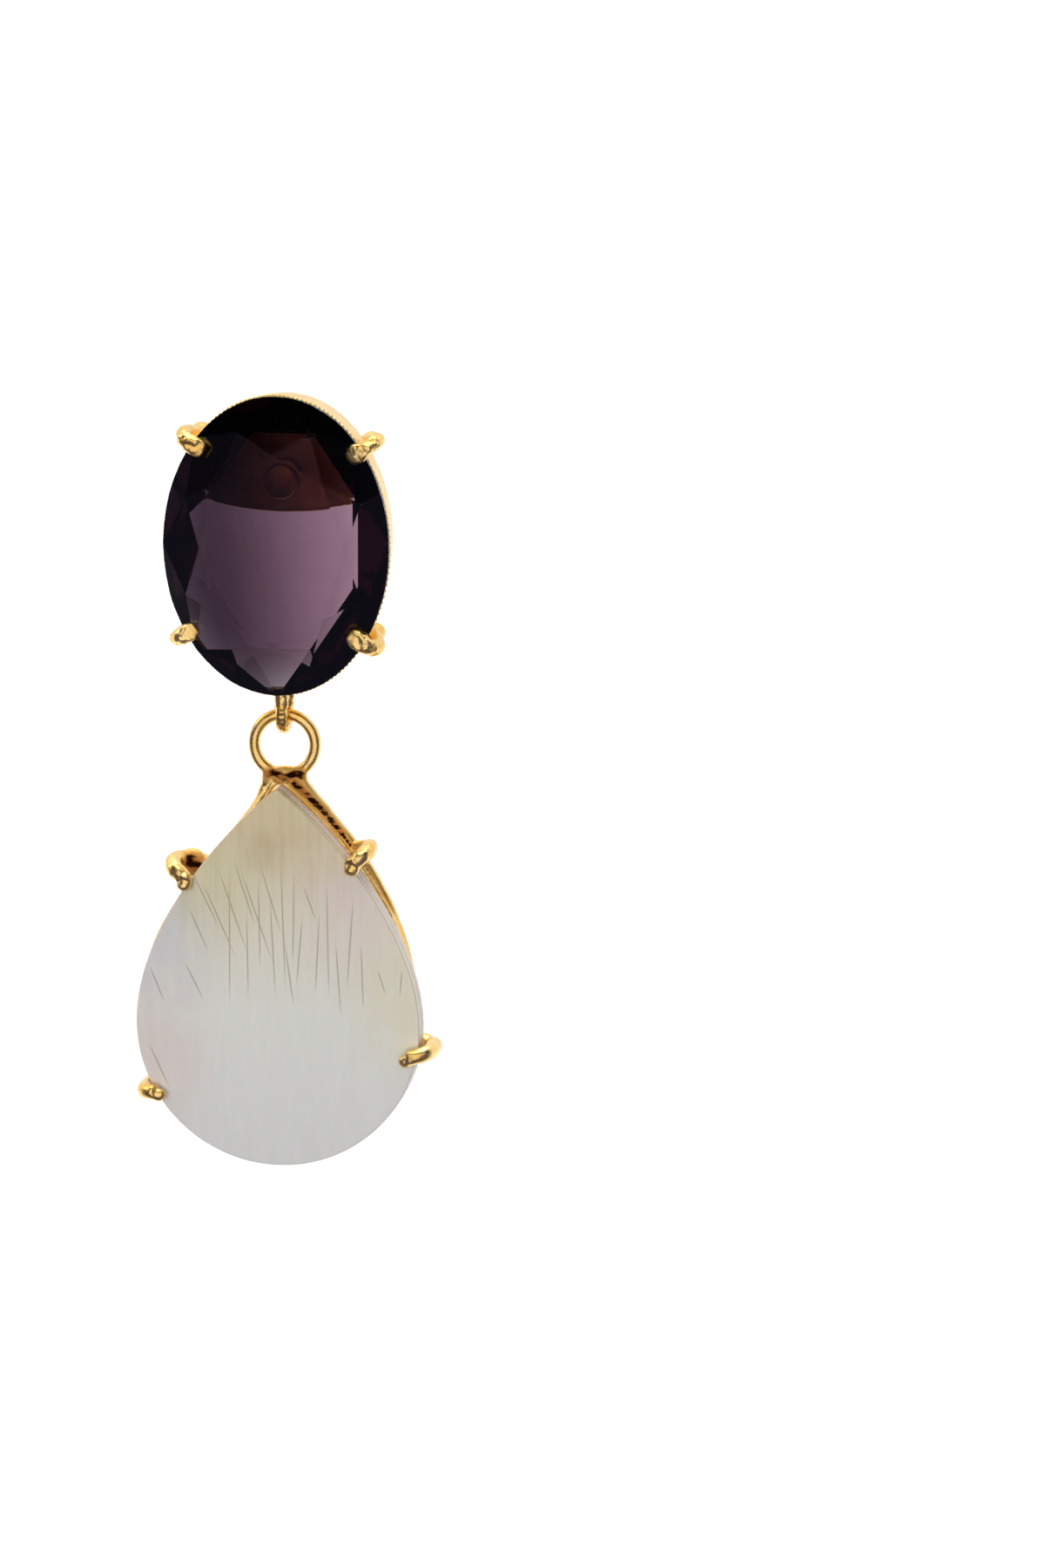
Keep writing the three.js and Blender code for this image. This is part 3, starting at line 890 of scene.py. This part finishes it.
def cut_amethyst():
    """Polished faceted quartz of a deep mauve: its colour deepens with the path of the light, so the
    window in the middle is mauve and the tilted facets round it are almost black. Its tint carries painted
    shade: greyer towards the left, and paler towards the right."""
    material, tree = new_material("cut amethyst")
    place = node(tree, "ShaderNodeTexCoord", out="Object")
    # Painted shade: the stone's tint is mixed from grey on its left to clear on its right
    across = node(tree, "ShaderNodeSeparateXYZ", (place,), out="X")
    up = node(tree, "ShaderNodeSeparateXYZ", (place,), out="Z")
    tilted = node(tree, "ShaderNodeMath", (up, 0.15), operation="MULTIPLY")
    lean = node(tree, "ShaderNodeMath", (across, tilted), operation="ADD")
    painted_shade_left = MM * (-4.5 + 0.15 * oval_z)
    painted_shade_right = MM * (6 + 0.15 * oval_z)
    painted_shade_zone = node(tree, "ShaderNodeMapRange", (lean, painted_shade_left, painted_shade_right), interpolation_type="SMOOTHSTEP")
    colour = node(tree, "ShaderNodeMix", {0: painted_shade_zone, 6: "#706a72", 7: "#ffffff"}, 2, data_type="RGBA")
    haze = node(tree, "ShaderNodeTexNoise", {"Vector": place, "Scale": repeats(amethyst_haze), "Detail": 2.0})
    haze = node(tree, "ShaderNodeMapRange", (haze, 0.3, 0.7, 0.0, 0.02), interpolation_type="SMOOTHSTEP")
    quartz = {"Base Color": colour, "Roughness": haze, "Transmission Weight": 1.0, "IOR": 1.544}
    surface = node(tree, "ShaderNodeBsdfPrincipled", quartz)
    depth = node(tree, "ShaderNodeVolumeAbsorption", {"Color": (0.28, 0.0, 0.17, 1.0), "Density": 440.0})
    node(tree, "ShaderNodeOutputMaterial", {"Surface": surface, "Volume": depth})
    return material


# Hairlines scratched in the plate's front: across and down are their middle, from the tip, lean is in degrees
hairlines = [
    {"across": -3.0, "down": 8.2, "length": 6.9, "lean": 19},
    {"across": -1.4, "down": 8.5, "length": 7.4, "lean": 19},
    {"across": -0.4, "down": 7.5, "length": 5.3, "lean": 17},
    {"across": -3.9, "down": 8.9, "length": 6.1, "lean": 24},
    {"across": -5.3, "down": 9.6, "length": 3.7, "lean": 24},
    {"across": -3.2, "down": 10.2, "length": 10.0, "lean": 0},
    {"across": -1.2, "down": 9.1, "length": 7.0, "lean": 1},
    {"across": 0.4, "down": 9.2, "length": 9.5, "lean": 2},
    {"across": 1.1, "down": 8.7, "length": 7.0, "lean": -1},
    {"across": 1.5, "down": 10.8, "length": 5.4, "lean": -5},
    {"across": 2.2, "down": 7.6, "length": 2.9, "lean": 20},
    {"across": 3.4, "down": 10.0, "length": 8.4, "lean": 1},
    {"across": 4.9, "down": 10.2, "length": 7.0, "lean": -4},
    {"across": 5.7, "down": 12.4, "length": 5.0, "lean": 2},
    {"across": 7.0, "down": 12.7, "length": 2.0, "lean": 18},
    {"across": 8.3, "down": 12.7, "length": 2.0, "lean": -5},
    {"across": -5.6, "down": 13.1, "length": 3.2, "lean": 27},
    {"across": -8.1, "down": 13.4, "length": 2.9, "lean": 22},
    {"across": -8.0, "down": 18.9, "length": 3.6, "lean": 25},
    {"across": -2.2, "down": 7.0, "length": 5.2, "lean": 18},
    {"across": -4.8, "down": 7.6, "length": 4.6, "lean": 26},
    {"across": -2.0, "down": 11.2, "length": 6.4, "lean": 1},
    {"across": -0.3, "down": 10.6, "length": 7.6, "lean": 3},
    {"across": 0.8, "down": 12.4, "length": 5.0, "lean": 8},
    {"across": 2.7, "down": 10.9, "length": 6.2, "lean": -3},
    {"across": 4.1, "down": 12.6, "length": 5.6, "lean": 4},
]

# Clouds of colour in the shell: where they lie from the tip, how far they reach, colour and strength
shell_clouds = [
    {"across": -0.9, "down": 4.3, "wide": 2.6, "tall": 2.4, "colour": "#a28d5e", "strength": 0.5},
    {"across": 2.6, "down": 5.0, "wide": 2.4, "tall": 3.6, "colour": "#b6a183", "strength": 0.4},
    {"across": -4.2, "down": 6.6, "wide": 4.4, "tall": 5.4, "colour": "#bbb489", "strength": 0.5},
    {"across": 5.4, "down": 8.0, "wide": 5.6, "tall": 6.4, "colour": "#cbbcb7", "strength": 0.6},
    {"across": -8.2, "down": 11.0, "wide": 5.6, "tall": 6.4, "colour": "#b3b5bc", "strength": 0.55},
    {"across": -8.8, "down": 17.8, "wide": 6.2, "tall": 7.4, "colour": "#c9b9b2", "strength": 0.6},
    {"across": 9.2, "down": 13.6, "wide": 6.0, "tall": 8.0, "colour": "#cac2a1", "strength": 0.6},
]


# Colours of the shell from the tip, at a share of the plate's height
shell_fall = [
    (0.0, "#bbad80"),
    (0.12, "#bdad86"),
    (0.24, "#c3b99d"),
    (0.4, "#c9c4b2"),
    (0.6, "#ccccc2"),
    (0.95, "#ccccc6"),
]


def shell_colours(tree, place, fall, streaks):
    """Khaki at the tip that pales downwards, with rosy and bluish clouds, and brush streaks at the top."""
    colour = node(tree, "ShaderNodeValToRGB", (fall,))
    elements = colour.node.color_ramp.elements
    elements.remove(elements[1])
    for position, code in shell_fall:
        element = elements[0] if position == 0.0 else elements.new(position)
        element.color = linear(code)
    wander = {"Vector": place, "Scale": repeats(shell_cloud_edge), "Detail": 3.0}
    wander = node(tree, "ShaderNodeTexNoise", wander)
    for cloud in shell_clouds:
        reach = {
            "Vector": place,
            "Location": (MM * cloud["across"], MM * plate_front_y, MM * (pear_tip_z - cloud["down"])),
            "Scale": (MM * cloud["wide"], MM * 6, MM * cloud["tall"]),
        }
        around = node(tree, "ShaderNodeMapping", reach, vector_type="TEXTURE")
        mask = node(tree, "ShaderNodeTexGradient", (around,), out="Fac", gradient_type="SPHERICAL")
        edge = (wander, 0.25, 0.6, 0.6, 1.3)
        edge = node(tree, "ShaderNodeMapRange", edge, interpolation_type="SMOOTHSTEP")
        ragged = node(tree, "ShaderNodeMath", (mask, edge), operation="MULTIPLY")
        ragged = node(tree, "ShaderNodeMapRange", (ragged, 0.0, 1.0), interpolation_type="SMOOTHSTEP")
        share = node(tree, "ShaderNodeMath", (ragged, cloud["strength"]), operation="MULTIPLY")
        colour = node(tree, "ShaderNodeMix", {0: share, 6: colour, 7: cloud["colour"]}, 2, data_type="RGBA")
    fade = node(tree, "ShaderNodeMapRange", (fall, 0.02, 0.5, 0.26, 0.0), interpolation_type="SMOOTHSTEP")
    brush = node(tree, "ShaderNodeMapRange", (streaks, 0.42, 0.72), interpolation_type="SMOOTHSTEP")
    share = node(tree, "ShaderNodeMath", (fade, brush), operation="MULTIPLY")
    return node(tree, "ShaderNodeMix", {0: share, 6: colour, 7: "#9c8c64"}, 2, data_type="RGBA")


def shell_hairlines(tree, place):
    """The fine dark scratches, as a share that is 1 in the middle of each."""
    scratches = None
    for line in hairlines:
        along = {
            "Vector": place,
            "Location": (MM * line["across"], MM * plate_front_y, MM * (pear_tip_z - line["down"])),
            "Rotation": (0, math.radians(-line["lean"]), 0),
            "Scale": (MM * hairline_width, MM, MM * line["length"] / 2),
        }
        needle = node(tree, "ShaderNodeMapping", along, vector_type="TEXTURE")
        shape = node(tree, "ShaderNodeTexGradient", (needle,), out="Fac", gradient_type="SPHERICAL")
        if scratches is None:
            scratches = shape
        else:
            scratches = node(tree, "ShaderNodeMath", (scratches, shape), operation="MAXIMUM")
    return scratches


def mother_of_pearl():
    """Satin-ground shell: greenish grey that pales downwards, khaki at the tip, with rosy and bluish clouds,
    brush streaks at the top and a few dark hairlines. Its gloss is soft, like silk."""
    material, tree = new_material("mother-of-pearl")
    place = node(tree, "ShaderNodeTexCoord", out="Object")
    from_tip = {"Vector": place, "Location": (0, 0, MM * pear_tip_z), "Scale": (MM, MM, -MM * pear_height)}
    from_tip = node(tree, "ShaderNodeMapping", from_tip, vector_type="TEXTURE")
    fall = node(tree, "ShaderNodeSeparateXYZ", (from_tip,), out="Z")
    sizes = [repeats(size) for size in brush_streak]
    stretched = node(tree, "ShaderNodeMapping", {"Vector": place, "Scale": sizes})
    streaks = node(tree, "ShaderNodeTexNoise", {"Vector": stretched, "Scale": 1.0, "Detail": 3.0})
    colour = shell_colours(tree, place, fall, streaks)

    sizes = [repeats(size) for size in shell_silk]
    stretched = node(tree, "ShaderNodeMapping", {"Vector": place, "Scale": sizes})
    silk = node(tree, "ShaderNodeTexNoise", {"Vector": stretched, "Scale": 1.0, "Detail": 3.0})
    pale = node(tree, "ShaderNodeMapRange", (silk, 0.3, 0.75, 0.0, 0.08), interpolation_type="SMOOTHSTEP")
    colour = node(tree, "ShaderNodeMix", {0: pale, 6: colour, 7: "#f0f0ea"}, 2, data_type="RGBA")
    scratches = shell_hairlines(tree, place)
    dark = node(tree, "ShaderNodeMapRange", (scratches, 0.0, 0.4, 0.0, 0.6), interpolation_type="SMOOTHSTEP")
    colour = node(tree, "ShaderNodeMix", {0: dark, 6: colour, 7: "#857d5c"}, 2, data_type="RGBA")

    # Painted shade: a thin dark band painted round the front edge, on the bevel just behind the face
    depth = node(tree, "ShaderNodeSeparateXYZ", (place,), out="Y")
    begins = (depth, MM * (plate_front_y + 0.02), MM * (plate_front_y + 0.06))
    begins = node(tree, "ShaderNodeMapRange", begins, interpolation_type="SMOOTHSTEP")
    ends = (depth, MM * (plate_front_y + 0.12), MM * (plate_front_y + 0.2), 0.6, 0.0)
    ends = node(tree, "ShaderNodeMapRange", ends, interpolation_type="SMOOTHSTEP")
    edge = node(tree, "ShaderNodeMath", (begins, ends), operation="MULTIPLY")
    colour = node(tree, "ShaderNodeMix", {0: edge, 6: colour, 7: "#7c7358"}, 2, data_type="RGBA")
    middle_y = (plate_front_y + plate_back_y) / 2
    back = (depth, MM * (middle_y - 0.12), MM * (middle_y - 0.05))
    back = node(tree, "ShaderNodeMapRange", back, interpolation_type="SMOOTHSTEP")
    back = node(tree, "ShaderNodeMath", (back, 0.7), operation="MULTIPLY")
    colour = node(tree, "ShaderNodeMix", {0: back, 6: colour, 7: "#d3bfb6"}, 2, data_type="RGBA")

    raised = node(tree, "ShaderNodeMath", (streaks, 0.4), operation="MULTIPLY")
    height = node(tree, "ShaderNodeMath", (raised, scratches), operation="SUBTRACT")
    skin = {"Height": height, "Strength": 0.5, "Distance": MM * scratch_depth}
    sheen = node(tree, "ShaderNodeMapRange", (silk, 0.3, 0.7, 0.3, 0.42), interpolation_type="SMOOTHSTEP")
    shell = {
        "Base Color": colour,
        "Roughness": sheen,
        "Subsurface Weight": 0.25,
        "Subsurface Scale": MM * 0.6,
        "Coat Weight": 0.25,
        "Coat Roughness": 0.3,
        "IOR": 1.53,
        "Normal": node(tree, "ShaderNodeBump", skin),
    }
    node(tree, "ShaderNodeOutputMaterial", {"Surface": node(tree, "ShaderNodeBsdfPrincipled", shell)})
    return material


def studio_floor():
    """Matt white card, evenly pale."""
    material, tree = new_material("white card")
    card = node(tree, "ShaderNodeBsdfPrincipled", {"Base Color": "#fafafa", "Roughness": 0.9})
    node(tree, "ShaderNodeOutputMaterial", {"Surface": card})
    return material


# The scene round the earring, in metres

floor_z = -0.12
floor_front = 0.04
floor_back = 3.0
floor_half_width = 1.6
earring_middle = Vector((0, 0, -0.02))
overhead_gain = 2.4


def set_floor():
    deselect()
    bpy.ops.mesh.primitive_plane_add(size=2, location=(0, (floor_front + floor_back) / 2, floor_z))
    floor = bpy.context.object
    floor.name = "studio_floor"
    floor.scale = (floor_half_width, (floor_back - floor_front) / 2, 1)
    bpy.ops.object.transform_apply(location=True, rotation=True, scale=True)
    floor.data.materials.append(studio_floor())


def softbox(name, turn, rise, distance, width, height, brightness):
    """A soft area light that looks at the earring from an azimuth and an elevation in degrees."""
    a, e = math.radians(turn), math.radians(rise)
    away = Vector((math.sin(a) * math.cos(e), -math.cos(a) * math.cos(e), math.sin(e)))
    bpy.ops.object.light_add(type="AREA", location=earring_middle + away * distance)
    lamp = bpy.context.object
    lamp.name = name
    lamp.rotation_euler = (-away).to_track_quat("-Z", "Y").to_euler()
    lamp.data.shape = "RECTANGLE"
    lamp.data.size = width
    lamp.data.size_y = height
    lamp.data.energy = brightness * math.pi * width * height
    return lamp


def keep_out(lamp, piece):
    """Screens one piece off from a lamp."""
    screened = bpy.data.collections.new("screened from " + lamp.name)
    screened.objects.link(piece)
    screened.collection_objects[0].light_linking.link_state = "EXCLUDE"
    lamp.light_linking.receiver_collection = screened


def light_studio():
    """Softboxes on both sides of a dark room, and a white tent behind and above the earring. Three things
    differ from real lamps: the fill light in front leaves no reflections, the pale sheet that the gold
    mirrors doesn't light the stone, and the camera sees the tent as plain white all round, while its top
    is brighter for all other rays."""
    softbox("left_softbox", turn=-86, rise=34, distance=0.75, width=0.3, height=0.36, brightness=2.4)
    softbox("left_strip", turn=-68, rise=14, distance=0.75, width=0.12, height=0.14, brightness=1.9)
    softbox("right_softbox", turn=47, rise=20, distance=0.75, width=0.15, height=0.15, brightness=2.0)
    fill = softbox("front_fill", turn=-4, rise=2, distance=0.8, width=0.5, height=0.5, brightness=3.9)
    fill.visible_glossy = False
    sheet = softbox("front_sheet", turn=4, rise=6, distance=0.9, width=1.1, height=1.15, brightness=1.05)
    keep_out(sheet, stone)
    world = bpy.data.worlds.new("light tent")
    bpy.context.scene.world = world
    world.use_nodes = True
    tree = world.node_tree
    tree.nodes.clear()
    direction = node(tree, "ShaderNodeTexCoord", out="Generated")
    depth = node(tree, "ShaderNodeSeparateXYZ", (direction,), out="Y")
    height = node(tree, "ShaderNodeSeparateXYZ", (direction,), out="Z")
    behind = node(tree, "ShaderNodeMapRange", (depth, -0.1, 0.3), interpolation_type="SMOOTHSTEP")
    above = node(tree, "ShaderNodeMapRange", (height, 0.78, 0.94), interpolation_type="SMOOTHSTEP")
    upper = node(tree, "ShaderNodeMapRange", (height, 0.15, 0.4), interpolation_type="SMOOTHSTEP")
    colour = node(tree, "ShaderNodeMix", {0: upper, 6: "#58526a", 7: "#1a1820"}, 2, data_type="RGBA")
    tent = node(tree, "ShaderNodeMath", (behind, above), operation="MAXIMUM")
    colour = node(tree, "ShaderNodeMix", {0: tent, 6: colour, 7: "#ffffff"}, 2, data_type="RGBA")
    seen = node(tree, "ShaderNodeLightPath", out="Is Camera Ray")
    colour = node(tree, "ShaderNodeMix", {0: seen, 6: colour, 7: "#ffffff"}, 2, data_type="RGBA")
    unseen = node(tree, "ShaderNodeMath", (1.0, seen), operation="SUBTRACT")
    overhead = node(tree, "ShaderNodeMath", (above, unseen), operation="MULTIPLY")
    gain = node(tree, "ShaderNodeMath", (overhead, overhead_gain), operation="MULTIPLY")
    strength = node(tree, "ShaderNodeMath", (1.0, gain), operation="ADD")
    shine = node(tree, "ShaderNodeBackground", (colour, strength))
    node(tree, "ShaderNodeOutputWorld", {"Surface": shine})


# The photograph was taken from a little above and to the right, with a long lens
camera_turn = 10
camera_rise = 12
camera_distance = 1.0
camera_lens = 350
photo_centre_right = 16.14
photo_centre_below = 15.63


def set_camera():
    a, e = math.radians(camera_turn), math.radians(camera_rise)
    away = Vector((math.sin(a) * math.cos(e), -math.cos(a) * math.cos(e), math.sin(e)))
    right = Vector((math.cos(a), math.sin(a), 0))
    up = away.cross(right)
    stone_middle = Vector((0, girdle_y, oval_z))
    target = (stone_middle + right * photo_centre_right - up * photo_centre_below) * MM
    bpy.ops.object.camera_add(location=target + away * camera_distance)
    camera = bpy.context.object
    camera.rotation_euler = (-away).to_track_quat("-Z", "Y").to_euler()
    camera.data.lens = camera_lens
    camera.data.sensor_width = 36
    camera.data.clip_start = 0.05
    camera.data.clip_end = 20
    bpy.context.scene.camera = camera


set_camera()

cast_gilt = gilt_brass()

finish_piece(top_setting(), "gilt_rim", "root", "gold", cast_gilt, "top_setting")
finish_piece(ear_post(), "gilt_post", "root", "gold", polished_gilt(), "ear_post")
finish_piece(drop_setting(), "gilt_drop_frame", "drop", "gold", cast_gilt, "drop_setting")
finish_piece(pearl_plate(), "shell_plate", "drop", "mother_of_pearl", mother_of_pearl(), "pearl_plate")

stone = frame["nodes"]["amethyst"]
stone.data.materials.clear()
stone.data.materials.append(cut_amethyst())

set_floor()
light_studio()
bpy.context.scene.view_settings.view_transform = "Standard"
